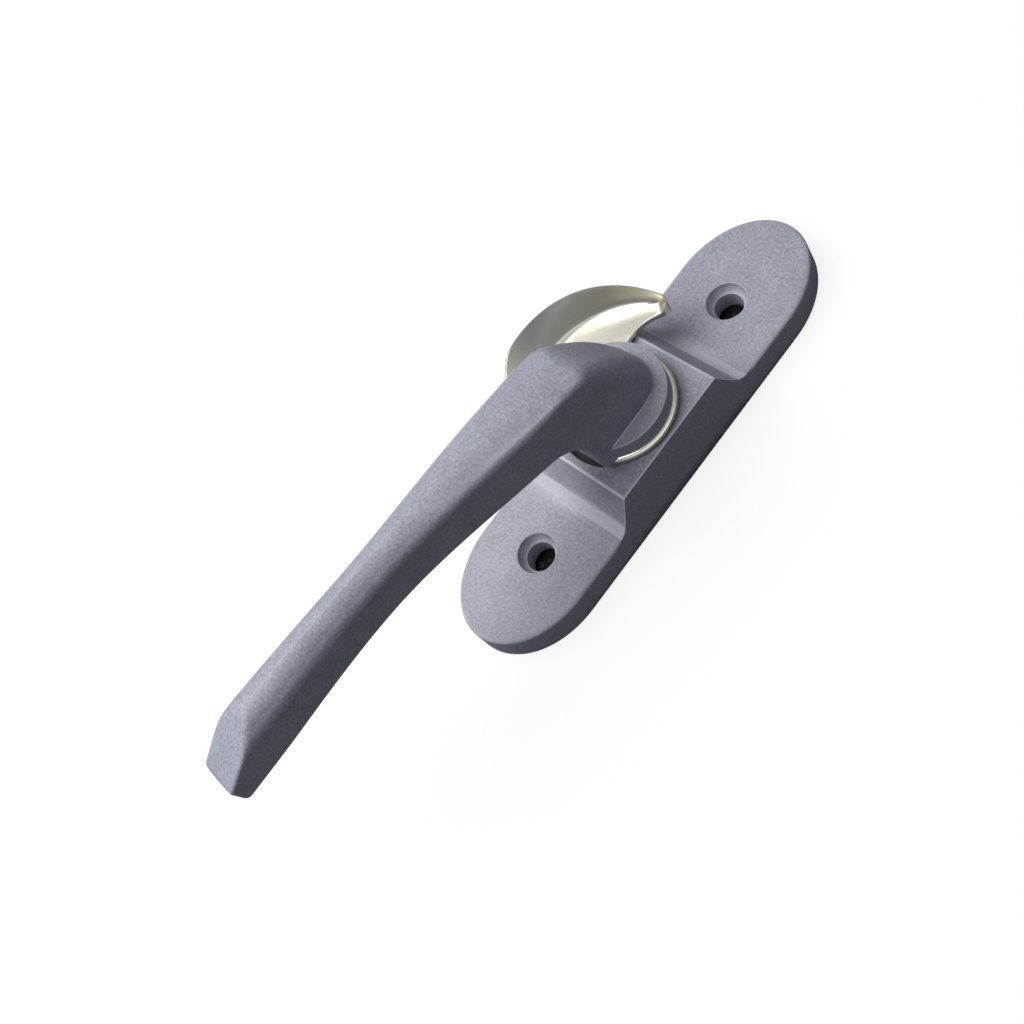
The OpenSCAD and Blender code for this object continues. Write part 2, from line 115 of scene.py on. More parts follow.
class SashHandleSizes(bpy.types.PropertyGroup):
    """Sizes of the cranked handle"""
    lever_reach: length("Lever reach", "From the turning axis to the end of the lever", 82.8)
    elbow_height: length("Elbow height", "Height of the lever's top at the elbow", 36.15)
    elbow_back: length("Elbow back", "From the turning axis forward to the back of the elbow", 4.6)
    elbow_corner: length("Elbow corner", "Radius of the elbow's back corners, seen from above", 2.4)
    lever_lift: angle("Lever lift", "Rise of the lever where it leaves the elbow", 13.4)
    lever_droop: length("Lever droop", "How far the lever's top curves down by its end", 10.25)
    lever_set: angle("Lever set", "Turn of the lever off the base's long axis, from the elbow on", 0.85)
    root_width: length("Root width", "Width of the lever at the elbow", 10.4)
    waist_width: length("Waist width", "Width of the lever at its waist", 6.3)
    tip_width: length("Tip width", "Width of the lever near its tip", 7.9)
    root_depth: length("Root depth", "Depth of the lever at the elbow", 11.1)
    waist_depth: length("Waist depth", "Depth of the lever at its waist", 9.9)
    tip_depth: length("Tip depth", "Depth of the lever at its tip, before the bevel", 10.7)
    lever_edge: length("Lever edge", "Radius of the lever's lower edges", 1.2)
    root_flank: length("Root flank", "Width of the sloping flanks of the lever's top, at the elbow", 2.6)
    tip_flank: length("Tip flank", "Width of those flanks near the tip", 2.2)
    root_flank_drop: length("Root flank drop", "How far those flanks fall, at the elbow", 1.15)
    tip_flank_drop: length("Tip flank drop", "How far those flanks fall, near the tip", 2.7)
    left_share: FloatProperty(name="Left share", default=0.75, min=0.3, max=1, subtype="FACTOR",
                              description="Fall of the left flank as a share of the right one's")
    flank_edge: length("Flank edge", "Radius between the flanks and the lever's sides", 0.7)
    flank_crest: length("Flank crest", "Radius between the flanks and the lever's top", 1.2)
    waist_reach: length("Waist reach", "From the turning axis to the waist", 47.5)
    bevel_length: length("Bevel length", "Length of the bevel on top of the tip", 11.6)
    bevel_fall: angle("Bevel fall", "Fall of the bevel from the lever's top line", 28.5)
    bevel_edge: length("Bevel edge", "Radius of the edges of the bevel", 0.5)
    tip_edge: length("Tip edge", "Radius round the end of the lever", 1)
    tip_bow: length("Tip bow", "How far the lever's end curves back at its sides", 0.2)
    tip_taper: length("Tip taper", "How far each side of the lever draws in along the bevel", 0.3)
    under_fillet: length("Under fillet", "Radius between the neck and the lever's underside", 4.5)
    collar_radius: length("Collar radius", "Radius of the collar at the handle's foot", 9.9)
    collar_height: length("Collar height", "Height of the collar", 3.3)
    collar_edge: length("Collar edge", "Radius of the collar's edge and of its corner with the neck", 0.3)
    neck_width: length("Neck width", "Width of the neck at its foot", 13.3)
    neck_back: length("Neck back", "From the turning axis back to the neck's foot", 7.7)
    neck_front: length("Neck front", "From the turning axis forward to the neck's foot", 9.9)
    neck_bulge: length("Neck bulge", "How far the neck's back stands out halfway up", 2.1)
    neck_rake: length("Neck rake", "How far the neck's front leans forward up to the elbow", 2.7)
    neck_corner: length("Neck corner", "Radius of the front corners of the neck's foot", 1.2)
    socket: length("Socket", "Side of the square socket for the spindle", 6.44)
    socket_top: length("Socket top", "Height of the socket's end above the back face", 21.22)


class SashCrescentSizes(bpy.types.PropertyGroup):
    """Sizes of the crescent and of the ring below it"""
    radius: length("Radius", "Radius of the outer edge about the turning axis", 20.15)
    tail_radius: length("Tail radius", "Radius of the rounded trailing end", 9.8)
    tip_radius: length("Tip radius", "Radius of the rounded tip", 1.38)
    tip_angle: angle("Tip angle", "Direction of the tip from the turning axis", 103)
    throat_radius: length("Throat radius", "Radius of the throat under the tip", 8.4)
    throat_angle: angle("Throat angle", "Direction of the throat's centre from the tip's", -43.4)
    hub_radius: length("Hub radius", "Radius of the disc round the square hole", 10.55)
    scoop_radius: length("Scoop radius", "Radius of the rim's inner wall at the plate", 16.7)
    scoop_flare: length("Scoop flare", "How much that wall's radius grows up to the top of the rim", 4.9)
    scoop_offset: length("Scoop offset", "Offset of that wall from the turning axis", 2.9)
    scoop_angle: angle("Scoop angle", "Direction of that offset", 83)
    scoop_lean: length("Scoop lean", "How far that wall's centre moves up to the top of the rim", 3.6)
    scoop_lean_angle: angle("Scoop lean angle", "Direction of that lean", -70)
    scoop_fillet: length("Scoop fillet", "Radius between the plate and the rim's wall", 0.9)
    rim_rise: length("Rim rise", "Height of the rim above the plate", 6.5)
    spoon_length: length("Spoon length", "How far inside the tip's edge the wall turns in across it", 1.5)
    spoon_slope: angle("Spoon slope", "Slope of the wall across the tip", 54)
    spoon_turn: angle("Spoon turn", "Direction of that slope, from the tip's", -50)
    tail_angle: angle("Tail angle", "Direction in which the trailing end begins", 184)
    rim_edge: length("Rim edge", "Radius of the rim's edges", 0.35)
    plate_edge: length("Plate edge", "Radius of the plate's edges", 0.25)
    hub_edge: length("Hub edge", "Radius of the upper edge of the disc", 0.75)
    slot_depth: length("Slot depth", "How far the disc is cut back under the front of the neck", 1.4)
    slot_angle: angle("Slot angle", "Direction of that cut", -88)
    slot_half: angle("Slot half", "Half the angle of that cut", 24)
    ring_bore: length("Ring bore", "Diameter of the hole in the ring", 8.1)


class SashFinishes(bpy.types.PropertyGroup):
    """Colours and grain of the finishes"""
    coat: colour("Powder coat", "Blue-grey of the powder coat", "#8C8E99")
    # Colour that lightens edges: partly thin rubbed coat, partly painted highlight along lit edges.
    coat_edge_and_highlight: colour("Coat edge", "Lighter coat where it runs thin on an edge", "#C8C9CE")
    coat_grain: length("Coat grain", "Width of one grain of the powder coat", 0.42)
    nickel: colour("Nickel", "Warm satin nickel of the crescent", "#E3E0D2")
    zinc: colour("Zinc", "Bright zinc of the ring and the hidden steel parts", "#D8DADD")
    spring: colour("Spring steel", "Blue-grey oiled spring steel", "#6E7278")
    bronze: colour("Bronze", "Sintered bronze of the bush", "#B48A55")


# Surfaces worked out as arrays


def ease(t):
    """Smooth step from 0 to 1: three times the square less twice the cube."""
    c = np.clip(t, 0, 1)
    return c*c*(3 - 2*c)


def round_max(a, b, r):
    """Both of two solids, where their faces meet in an edge of radius r: the greater field, and a
    circle about the point r inside both faces."""
    return np.minimum(-r, np.maximum(a, b)) + np.hypot(np.maximum(r + a, 0), np.maximum(r + b, 0))


def round_min(a, b, r):
    """Either of two solids, with a fillet of radius r in the corner between them."""
    return np.maximum(r, np.minimum(a, b)) - np.hypot(np.maximum(r - a, 0), np.maximum(r - b, 0))


def steps(*stops):
    """Values through the stops, given as start, count, stop, count, stop and so on."""
    parts = [np.linspace(start, stop, count, endpoint=False)
             for start, count, stop in zip(stops[:-2:2], stops[1::2], stops[2::2])]
    return np.concatenate(parts + [[stops[-1]]])


def lofted(name, rings, start=None, end=None, wrap=False):
    """Closed skin over rings of points: quads between neighbouring rings, whose points run round, and a
    fan of triangles to a pole at each end, or a last band back to the first ring. Faces are turned
    outwards by the sign of the enclosed volume."""
    rows, columns = rings.shape[:2]
    points = [rings.reshape(-1, 3)]
    i, j = np.meshgrid(np.arange(rows if wrap else rows - 1), np.arange(columns), indexing="ij")
    k, n = (j + 1) % columns, (i + 1) % rows
    quads = np.stack([i*columns + j, i*columns + k, n*columns + k, n*columns + j], -1).reshape(-1, 4)
    triangles = np.zeros((0, 3), int)
    around = np.arange(columns)
    for pole, row, turn in ((start, 0, -1), (end, rows - 1, 1)):
        if pole is not None:
            tip = np.full(columns, sum(len(part) for part in points))
            fan = np.stack([row*columns + around, row*columns + (around + 1) % columns, tip], -1)
            triangles = np.concatenate([triangles, fan[:, ::turn]])
            points.append(np.reshape(pole, (1, 3)))
    points = np.concatenate(points)
    every = np.concatenate([quads[:, [0, 1, 2]], quads[:, [0, 2, 3]], triangles])
    corners = points[every]
    volume = np.sum(corners[:, 0]*np.cross(corners[:, 1], corners[:, 2]))
    turn = 1 if volume > 0 else -1
    mesh = bpy.data.meshes.new(name)
    mesh.from_pydata(points.tolist(), [], quads[:, ::turn].tolist() + triangles[:, ::turn].tolist())
    return linked(name, mesh)


def linked(name, mesh):
    """New object at the origin that shows the mesh."""
    piece = bpy.data.objects.new(name, mesh)
    bpy.context.scene.collection.objects.link(piece)
    return piece


def weld(mesh):
    """Joins points that lie on each other."""
    work = bmesh.new()
    work.from_mesh(mesh)
    bmesh.ops.remove_doubles(work, verts=work.verts, dist=0.001*MM)
    work.to_mesh(mesh)
    work.free()


def merged_copy(node, name):
    """Copy of a solid's mesh, with its loose triangles joined."""
    mesh = frame["nodes"][node].data.copy()
    weld(mesh)
    mesh.materials.clear()
    return linked(name, mesh)


def carve(piece, tool, operation):
    """Boolean of a piece and a tool, kept in the piece's mesh. The tool is then gone."""
    carver = piece.modifiers.new("carve", "BOOLEAN")
    carver.operation, carver.object, carver.solver = operation, tool, "MANIFOLD"
    result = bpy.data.meshes.new_from_object(piece.evaluated_get(bpy.context.evaluated_depsgraph_get()))
    piece.modifiers.remove(carver)
    piece.data = result
    bpy.data.objects.remove(tool)
    if not result.polygons:
        raise RuntimeError(f"{piece.name}: the cut left nothing")


def mark_edges(piece, wear_and_highlight):
    """Keeps for each point a share from 0 to 1 of rubbed coat and painted highlight, or below 0 for painted
    shade, worked out from its place and its normal.
    """
    mesh = piece.data
    places, normals = np.empty((2, 3*len(mesh.vertices)), np.float32)
    mesh.vertices.foreach_get("co", places)
    mesh.vertex_normals.foreach_get("vector", normals)
    wear_and_highlight_share = wear_and_highlight(*places.reshape(-1, 3).T, *normals.reshape(-1, 3).T)
    mesh.attributes.new("edge_wear_and_highlight", "FLOAT", "POINT").data.foreach_set("value", wear_and_highlight_share.astype(np.float32))


def placed(piece, body, node, material, sharp=40):
    """Smooth shading with crisp corners, the finish, and the solid that the piece stands for."""
    piece.data.shade_smooth()
    piece.data.set_sharp_from_angle(angle=radians(sharp))
    piece.data.materials.clear()
    piece.data.materials.append(material)
    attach(piece, body)
    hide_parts(node)


# Base casting


def base_height(y, s):
    """Height of the base's top along its length: ear, fillet, slope and boss. The fillet is an arc
    between the ear and the slope, and the slope meets the boss's top in a small arc."""
    lean = np.tan(s.boss_slope)
    rise = BASE_HIGH.z - s.ear_thickness
    foot = s.boss_top/2 + rise*lean
    out = np.abs(y)
    # Distances from the ear's face, the slope and the boss's top, worked out for a trial height
    low, high = np.full(y.shape, s.ear_thickness), np.full(y.shape, BASE_HIGH.z + s.boss_edge)
    for _ in range(40):
        z = (low + high)/2
        slope = (out - foot + (z - s.ear_thickness)*lean)*np.cos(s.boss_slope)
        boss = round_max(slope, z - BASE_HIGH.z, s.boss_edge)
        inside = round_min(boss, z - s.ear_thickness, s.boss_fillet) < 0
        low, high = np.where(inside, z, low), np.where(inside, high, z)
    return (low + high)/2


def base_rings(s):
    """Rings round the base, drawn in by an inset from the outline of straight sides and half-elliptical
    ends: up the drafted wall, over a rounded edge, and in across the top to the middle line. The height
    of the edge and of the top follows the side view."""
    half, reach = BASE_HIGH.x, BASE_HIGH.y
    straight = reach - s.end_round
    foot = s.boss_top/2 + (BASE_HIGH.z - s.ear_thickness)*np.tan(s.boss_slope)
    near, far = s.boss_top/2, foot + 3*MM
    side = steps(-straight, 24, -far, 40, -near - 0.7*MM, 24, -near + 0.7*MM, 24,
                 near - 0.7*MM, 24, near + 0.7*MM, 40, far, 24, straight)
    turn = np.linspace(0, np.pi, 73)[1:-1]
    along = np.concatenate([side, straight + 0*turn, -side, -straight - 0*turn])
    across = np.concatenate([1 + 0*side, np.cos(turn), -1 + 0*side, -np.cos(turn)])
    bulge = np.concatenate([0*side, np.sin(turn), 0*side, -np.sin(turn)])
    ear_share = ease((np.abs(along) - near)/(far - near))
    edge = s.boss_edge + (s.ear_edge - s.boss_edge)*ear_share

    def ring(inset, z):
        x = across*(half - inset)
        y = along + bulge*(s.end_round - inset)
        return np.stack([x, y, z + 0*x], -1)

    top = base_height(np.minimum(np.abs(along), far + MM), s) - s.casting_gap
    draft = s.wall_draft/BASE_HIGH.z
    rows = []
    for share in np.linspace(0, 1, 7):
        z = -s.casting_gap + share*(top - edge + s.casting_gap)
        rows.append(ring(s.casting_gap + draft*np.maximum(z, 0), z))
    for bend in np.linspace(0, np.pi/2, 10)[1:]:
        z = top - edge*(1 - np.sin(bend))
        rows.append(ring(s.casting_gap + draft*z + edge*(1 - np.cos(bend)), z))
    start = s.casting_gap + draft*top + edge
    for share in (0.04, 0.09, *np.linspace(0, 1, 10)[2:]):
        inset = start + share*(half - start)
        rows.append(ring(inset, top))
    return np.array(rows)


def hole_cutter(name, place, s):
    """Lathe for a mounting hole: a plain bore, a sloping ledge, a steep wall and a lip that rounds over
    into the ear's face."""
    columns = 96
    bore = MOUNTS["mount_screws"]["dims"]["hole_r_mm"]*MM + 0.02*MM
    face = s.ear_thickness - s.casting_gap
    lip = np.linspace(0, np.pi/2, 8)
    wall = s.countersink/2 - s.hole_lip + 0.02*MM
    foot = wall - s.sink_draft
    radius = np.concatenate([[bore, bore, foot], wall + s.hole_lip*(1 - np.cos(lip)),
                             [s.countersink/2 + 0.02*MM]])
    height = np.concatenate([[-MM, face - s.sink_depth - s.ledge_depth, face - s.sink_depth],
                             face - s.hole_lip*(1 - np.sin(lip)) + 0.004*MM, [face + 2*MM]])
    turn = np.linspace(0, 2*np.pi, columns, endpoint=False)
    rings = np.stack([radius[:, None]*np.cos(turn), place + radius[:, None]*np.sin(turn),
                      height[:, None] + 0*turn], -1)
    return lofted(name, rings, (0, place, height[0]), (0, place, height[-1]))


def slot_cutter(name, turn_start, turn_stop, s):
    """Bent bar for the slot in the boss: a rectangle of two radii and two heights, swept round the axis."""
    turn = np.linspace(turn_start, turn_stop, 49)[:, None]
    radius = np.array([s.slot_inner, s.slot_outer, s.slot_outer, s.slot_inner])
    height = BASE_HIGH.z + np.array([-s.slot_depth, -s.slot_depth, MM, MM])
    rings = np.stack([radius*np.cos(turn), radius*np.sin(turn), height + 0*turn], -1)
    return lofted(name, rings, rings[0].mean(0), rings[-1].mean(0))


def base_wear_and_highlight(x, y, z, nx, ny, nz, s):
    """Light lines on the casting's edges, partly rubbed coat and partly painted highlight, where a rounded
    edge's normal is halfway between two faces: round the outline and across the ends of the boss's top. The
    floor of the slot is below 0, for painted shade that turns it near black."""
    straight = BASE_HIGH.y - s.end_round
    out = np.clip(np.where(np.abs(y) > straight, np.hypot(nx, ny), np.abs(nx)), 0, 1)
    outline = np.clip((2*out*np.sqrt(1 - out**2) - 0.35)/0.65, 0, 1)*(nz > 0.1)
    lean = np.clip(np.abs(ny)/np.cos(s.boss_slope), 0, 1)
    crest = 2*lean*np.sqrt(1 - lean**2)*(z > BASE_HIGH.z - s.casting_gap - s.boss_edge)*(np.abs(nx) < 0.3)
    boss = ease((z - s.ear_thickness)/(2*MM))
    reach = np.hypot(x, y)
    # The slot's floor gets -1: painted shade, near black in the coat.
    floor = (np.abs(z - BASE_HIGH.z + s.slot_depth) < 0.1*MM)*(reach > s.slot_inner - 0.1*MM)
    return np.where(floor*(reach < s.slot_outer + 0.1*MM), -1, np.maximum(outline*(0.35 + 0.65*boss), crest))


# Handle


def along_lever(d, s, root, waist, tip):
    """A size that eases from the lever's root to its waist and on to its tip."""
    back = ease((s.waist_reach - d)/(s.waist_reach - s.neck_front))
    ahead = ease((d - s.waist_reach)/(s.lever_reach - s.waist_reach))
    return waist + (root - waist)*back + (tip - waist)*ahead


def lever_line(d, s):
    """Top line of the lever: a straight rise from the elbow less a parabola."""
    u = d - s.elbow_back
    return s.elbow_height + u*np.tan(s.lever_lift) - s.lever_droop*(u/(s.lever_reach - s.elbow_back))**2


def lever_slope(d, s):
    """Slope of that top line."""
    return np.tan(s.lever_lift) - 2*s.lever_droop*(d - s.elbow_back)/(s.lever_reach - s.elbow_back)**2


def handle_field(p, s):
    """Negative inside the handle. Its plan is a bar whose back leans and bulges from the foot, where it is
    round, to the elbow, where it has rounded corners. Above, it is bounded by the lever's top line, its
    sloping flanks and the bevel; below, by the neck's front and the lever's underside, joined by a fillet.
    Edges are rounded, and the collar is added at the foot."""
    x, y, z = p[..., 0], p[..., 1], p[..., 2]
    d = -y
    collar_top = PLATE_TOP + s.collar_height
    elbow_centre = s.elbow_back + s.root_width/2
    elbow_top = lever_line(elbow_centre, s)
    up = np.clip((z - collar_top)/(elbow_top - collar_top), 0, 1)
    foot_half, root_half = s.neck_width/2, s.root_width/2
    back = (s.neck_back - foot_half)*(1 - up) - elbow_centre*up + s.neck_bulge*4*up*(1 - up)
    half = foot_half + (root_half - foot_half)*up - root_half
    half = half + along_lever(d, s, s.root_width, s.waist_width, s.tip_width)/2
    half = half - s.tip_taper*np.maximum(0, 1 + (d - s.lever_reach)/s.bevel_length)
    corner = half + (s.elbow_corner - half)*up
    set_over = np.maximum(d - s.neck_front - s.under_fillet, 0)*np.tan(s.lever_set)
    aside = np.abs(x + set_over) - half
    behind = y - back - half
    side = round_max(aside, behind, corner)
    line, slope = lever_line(d, s), lever_slope(d, s)
    fall = np.tan(s.bevel_fall)
    top = (z - line)/np.hypot(1, slope)
    bevel = (z - line + (d - s.lever_reach + s.bevel_length)*fall)/np.hypot(1, slope - fall)
    under = (line - along_lever(d, s, s.root_depth, s.waist_depth, s.tip_depth) - z)/np.hypot(1, slope)
    front_lean = s.neck_rake/(elbow_top - collar_top)
    front = (d - s.neck_front - np.maximum(z - collar_top, 0)*front_lean)/np.hypot(1, front_lean)
    below = round_min(front, under, s.under_fillet)
    along = np.clip((d - elbow_centre)/(s.lever_reach - s.bevel_length - elbow_centre), 0, 1)
    flank = s.root_flank + (s.tip_flank - s.root_flank)*along
    drop = s.root_flank_drop + (s.tip_flank_drop - s.root_flank_drop)*np.sqrt(along)
    drop = drop*np.where(x + set_over < 0, s.left_share, 1)
    fallen = ((aside + flank)*drop + (z - line)*flank)/np.hypot(flank, drop)
    body = round_max(round_max(side, fallen, s.flank_edge), top, s.flank_crest)
    body = round_max(body, bevel, s.bevel_edge)
    low_edge = s.neck_corner + (s.lever_edge - s.neck_corner)*ease((z - collar_top)/s.neck_width)
    body = round_max(body, below, low_edge)
    body = round_max(body, d - s.lever_reach + s.tip_bow*(2*(x + set_over)/s.tip_width)**2, s.tip_edge)
    collar = round_max(np.hypot(x, y) - s.collar_radius, z - collar_top, s.collar_edge)
    return round_min(body, collar, s.collar_edge)


def handle_wear_and_highlight(x, y, z, nx, ny, nz, s):
    """Light lines on the handle, partly rubbed coat and partly painted highlight: the collar's top edge, the
    corner between the collar and the neck's sides, which is painted highlight only, and the upper edges of
    the lever, whose painted highlight fades along it."""
    collar_top = PLATE_TOP + s.collar_height
    reach = np.hypot(x, y)
    edge = s.collar_edge
    near = (np.abs(reach - s.collar_radius + 0.4*edge) < edge)*(z < collar_top + 0.2*edge)
    rim = np.clip(3*nz*(1 - nz), 0, 1)*near*(z > collar_top - 1.2*edge)
    corner = np.clip(1 - np.abs(z - collar_top - 0.4*edge)/(0.6*edge), 0, 1)
    corner = corner*ease((np.abs(x) - 5.6*MM)/MM)*(reach < s.collar_radius - 0.3*MM)
    # Painted highlight along the lever's upper edges, strongest near the elbow.
    crown_highlight = np.exp(-((np.abs(nx) - 0.58)/0.14)**2)*(z > s.elbow_height - 4*MM)
    crown_highlight = crown_highlight*(1 - ease((-y - 10*MM)/(30*MM)))*ease((-y - s.elbow_back - s.elbow_corner)/(2*MM))
    return np.maximum(np.maximum(rim, corner), 0.5*crown_highlight*(nz > 0))


def cast(origins, directions, reach, field):
    """Where each ray leaves the solid, by halving the interval between inside and outside."""
    near = np.zeros(directions.shape[:-1])
    far = near + reach
    for _ in range(40):
        middle = (near + far)/2
        inside = field(origins + middle[..., None]*directions) < 0
        near, far = np.where(inside, middle, near), np.where(inside, far, middle)
    return origins + near[..., None]*directions


def handle_rings(s):
    """Rings round the handle, cast outwards from a line that climbs the neck, turns through a quarter
    circle under the elbow and runs along the lever: level planes, a fan of planes, upright planes, and at
    the tip a fan of cones. Returns the rings and the point of the tip."""
    collar_top = PLATE_TOP + s.collar_height
    edge = s.collar_edge
    turn_centre = np.array([s.neck_front + s.under_fillet + MM, 22.8*MM])
    turn_radius = 10*MM
    fine = 0.002*MM
    level = np.concatenate([
        steps(PLATE_TOP, 5, collar_top - edge), collar_top - edge*(1 - np.sin(steps(0, 7, np.pi/2)[1:-1])),
        [collar_top - fine, collar_top + fine], collar_top + edge*(1 - np.cos(steps(0, 7, np.pi/2)[1:])),
        steps(collar_top + edge, 20, turn_centre[1])[1:-1]])
    fan = np.radians(steps(0, 44, 40, 120, 68, 40, 90))
    bevel_start = s.lever_reach - s.bevel_length
    cap_start = s.lever_reach - 3.8*MM
    upright = steps(turn_centre[0], 84, bevel_start - 1.5*MM, 20, bevel_start + 1.5*MM, 14, cap_start)[1:]
    cone = np.radians(steps(0, 34, 90)[1:-1])
    rise = np.concatenate([0*level, fan, 0*upright + np.pi/2, 0*cone + np.pi/2])
    ahead = np.concatenate([0*level, 0*fan, 0*upright, cone])
    climb = (level - PLATE_TOP)/(turn_centre[1] - PLATE_TOP)
    mid_y = np.concatenate([climb*(turn_radius - turn_centre[0]),
                            turn_radius*np.cos(fan) - turn_centre[0], -upright, 0*cone - cap_start])

    def mid_height(d):
        depth = along_lever(d, s, s.root_depth, s.waist_depth, s.tip_depth)
        bevel = np.maximum(0, d - bevel_start)*np.tan(s.bevel_fall)
        return lever_line(d, s) - (depth + bevel)/2

    blend = ease((upright - turn_centre[0])/(6*MM))
    spine = (turn_centre[1] + turn_radius)*(1 - blend) + mid_height(upright)*blend
    mid_z = np.concatenate([level, turn_centre[1] + turn_radius*np.sin(fan), spine,
                            0*cone + mid_height(np.array(cap_start))])
    origins = np.stack([0*mid_y, mid_y, mid_z], -1)[:, None]
    columns = 144
    spin = np.linspace(0, 2*np.pi, columns, endpoint=False)
    across, outward = np.cos(spin), np.sin(spin)
    flat, tilt = np.cos(ahead)[:, None], np.sin(ahead)[:, None]
    directions = np.stack([flat*across, flat*outward*np.cos(rise)[:, None] - tilt,
                           flat*outward*np.sin(rise)[:, None]], -1)
    rings = cast(origins, directions, 40*MM, lambda p: handle_field(p, s))
    point = cast(origins[-1, 0], np.array([0.0, -1.0, 0.0]), 40*MM, lambda p: handle_field(p, s))
    square = s.socket/2/np.maximum(np.abs(across), np.abs(outward))
    socket = np.stack([np.stack([square*across, square*outward, 0*spin + z], -1)
                       for z in (s.socket_top, PLATE_TOP)])
    return np.concatenate([socket, rings]), point


# Crescent and ring


def arc(centre, radius, start, stop, share):
    """Points on a circle, from one angle in degrees to another."""
    turn = np.radians(start + (stop - start)*share)
    return np.stack([centre[0] + radius*np.cos(turn), centre[1] + radius*np.sin(turn)], -1)


def toward(distance, turn):
    """Step in plan of a distance in a direction."""
    return distance*np.array([np.cos(turn), np.sin(turn)])


def scoop_share(plan, s):
    """How far up the rim's inner wall stands over a point in plan, as a share of the rim's height. The
    wall is a leaning cone: its circles grow and move in equal steps as they rise, so the share solves an
    equation of the second degree. At the tip a sloping plane closes it like a spoon."""
    away = plan - toward(s.scoop_offset, s.scoop_angle)
    b = away @ toward(s.scoop_lean, s.scoop_lean_angle) + s.scoop_radius*s.scoop_flare
    c = np.sum(away**2, -1) - s.scoop_radius**2
    cone = c/(b + np.sqrt(b*b - (s.scoop_lean**2 - s.scoop_flare**2)*c))
    tip = toward(s.radius - s.tip_radius, s.tip_angle)
    past = (plan - tip) @ toward(1, s.tip_angle + s.spoon_turn) - s.tip_radius + s.spoon_length
    spoon = past*np.tan(s.spoon_slope)/s.rim_rise
    return (cone + spoon + np.hypot(cone - spoon, 0.06))/2


def rim_height(plan, s):
    """Height of the plate and the rim over a point in plan: the plate and the wall joined by a fillet,
    below a level top with a rounded edge, found by halving."""
    rise = s.rim_rise
    wall = rise*scoop_share(plan, s)
    step = 0.01*MM
    slope = np.hypot(*(rise*(scoop_share(plan + aside, s) - scoop_share(plan - aside, s))/(2*step)
                       for aside in step*np.eye(2)))
    low, high = np.full(wall.shape, -MM), np.full(wall.shape, rise)
    for _ in range(40):
        z = (low + high)/2
        body = round_min(z, (z - wall)/np.hypot(1, slope), s.scoop_fillet)
        inside = round_max(body, z - rise, s.rim_edge) < 0
        low, high = np.where(inside, z, low), np.where(inside, high, z)
    return PLATE_TOP + (low + high)/2


def crescent_rings(s):
    """Closed sections carried along the crescent from its tip to its trailing end. Each lies over a line
    from the inner edge to the outer one, and its top is the height of the rim there. Edges are rounded
    by curves of the second degree."""
    tip = toward(s.radius - s.tip_radius, s.tip_angle)
    throat = tip + toward(s.throat_radius + s.tip_radius, s.throat_angle)
    tail = toward(s.radius - s.tail_radius, s.tail_angle)
    tail_turn = np.degrees(s.tail_angle)
    tip_turn, throat_turn = np.degrees(s.tip_angle), np.degrees(s.throat_angle)
    nose = tip_turn - 90
    share = [steps(0, n, 1)[:-1] for n in (26, 70, 50, 40)]
    end = arc(throat, s.throat_radius, 0, 218, np.array([1.0]))[0]
    cover, cover_turn = np.hypot(*end), np.degrees(np.arctan2(end[1], end[0]))
    outer = np.concatenate([
        arc(tip, s.tip_radius, nose + 3, tip_turn, share[0]), arc((0, 0), s.radius, tip_turn, 140, share[1]),
        arc((0, 0), s.radius, 140, tail_turn, share[2]), arc(tail, s.tail_radius, tail_turn, 298, share[3])])
    inner = np.concatenate([
        arc(tip, s.tip_radius, nose - 3, throat_turn, share[0]),
        arc(throat, s.throat_radius, throat_turn + 180, 218, share[1]),
        arc((0, 0), cover, cover_turn, 170, share[2]), arc((0, 0), cover, 170, 235, share[3])])
    scoop = toward(s.scoop_offset, s.scoop_angle)
    across = outer - inner
    width = np.linalg.norm(across, axis=1, keepdims=True)
    edge = np.minimum(s.rim_edge, 0.3*width)
    lip = np.minimum(s.plate_edge, 0.3*width)

    # Shares of the width at which the line passes the plate, the fillet and then the wall
    stops = s.scoop_radius + np.concatenate([steps(-6, 6, -1.2)[:-1], steps(-1.2, 14, 1.2)])*MM
    a = np.sum(across**2, -1, keepdims=True)
    b = np.sum(across*(inner - scoop), -1, keepdims=True)
    c = np.sum((inner - scoop)**2, -1, keepdims=True) - stops**2
    meet = (-b + np.sqrt(np.maximum(b*b - a*c, 0)))/a
    first, last = lip/width, 1 - edge/width
    meet = np.clip(meet, first, last)
    meet = np.concatenate([meet, meet[:, -1:] + (last - meet[:, -1:])*steps(0, 14, 1)[1:]], 1)
    spread = np.linspace(0, 1, meet.shape[1])
    meet = np.sort(0.985*meet + 0.015*(first + (last - first)*spread), axis=1)
    meet = np.concatenate([first, meet, last], 1)
    plan = inner[:, None] + meet[..., None]*across[:, None]
    surface = np.concatenate([plan, rim_height(plan, s)[..., None]], -1)

    def corner(before, at, after):
        t = np.linspace(0, 1, 6)[1:, None]
        return before[:, None]*(1 - t)**2 + at[:, None]*2*t*(1 - t) + after[:, None]*t**2

    def point(plan, z):
        return np.concatenate([plan, z], -1)

    end, past = surface[:, -1], surface[:, -2]
    run = np.linalg.norm((end - past)[:, :2], axis=1, keepdims=True)
    climb = (end - past)[:, 2:]/np.maximum(run, 1e-9)
    crest = np.minimum(end[:, 2:] + np.clip(climb, 0, 2.2)*edge, PLATE_TOP + s.rim_rise)
    outer_top = corner(end, point(outer, crest), point(outer, crest - 1.4*edge))
    floor = 0*width + CRESCENT_BOTTOM
    outer_low = corner(point(outer, floor + lip), point(outer, floor), point(outer - across/width*lip, floor))
    inner_low = corner(point(inner + across/width*lip, floor), point(inner, floor), point(inner, floor + lip))
    begin = surface[:, 0]
    inner_top = corner(point(inner, begin[:, 2:] - lip), point(inner, begin[:, 2:]), begin)[:, :-1]
    wall = point(outer, floor + lip)[:, None]
    low = point(inner + across/width*lip, floor)[:, None]
    rise = point(inner, begin[:, 2:] - lip)[:, None]
    return np.concatenate([surface, outer_top, wall, outer_low, low, inner_low, rise, inner_top], 1)


